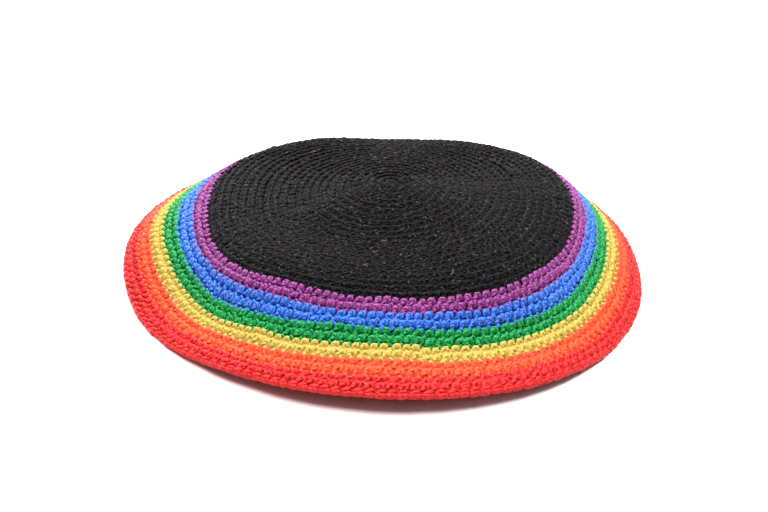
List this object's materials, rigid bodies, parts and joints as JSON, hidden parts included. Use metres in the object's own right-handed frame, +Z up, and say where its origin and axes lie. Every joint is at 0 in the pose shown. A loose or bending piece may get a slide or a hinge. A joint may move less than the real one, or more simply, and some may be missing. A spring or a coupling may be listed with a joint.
{
  "type": "crocheted skullcap",
  "caption": "Low domed crocheted skullcap lying crown up, with a plain dark crown and rainbow bands down to a soft rolled rim.",
  "frame": {"origin": "on the floor, at the middle of the cap's footprint", "axes": "+Z up, out of the crown; -Y towards the side that faces the viewer; +X to that viewer's right"},
  "size_m": [0.1893, 0.1947, 0.0332],
  "materials": {
    "black_yarn": "matte crocheted yarn",
    "violet_yarn": "matte crocheted yarn",
    "blue_yarn": "matte crocheted yarn",
    "green_yarn": "matte crocheted yarn",
    "yellow_yarn": "matte crocheted yarn",
    "orange_yarn": "matte crocheted yarn",
    "red_yarn": "matte crocheted yarn"
  },
  "bodies": {
    "root": {"crown": "black_yarn", "violet_band": "violet_yarn", "blue_band": "blue_yarn", "green_band": "green_yarn", "yellow_band": "yellow_yarn", "orange_band": "orange_yarn", "red_band": "red_yarn"}
  },
  "joints": []
}
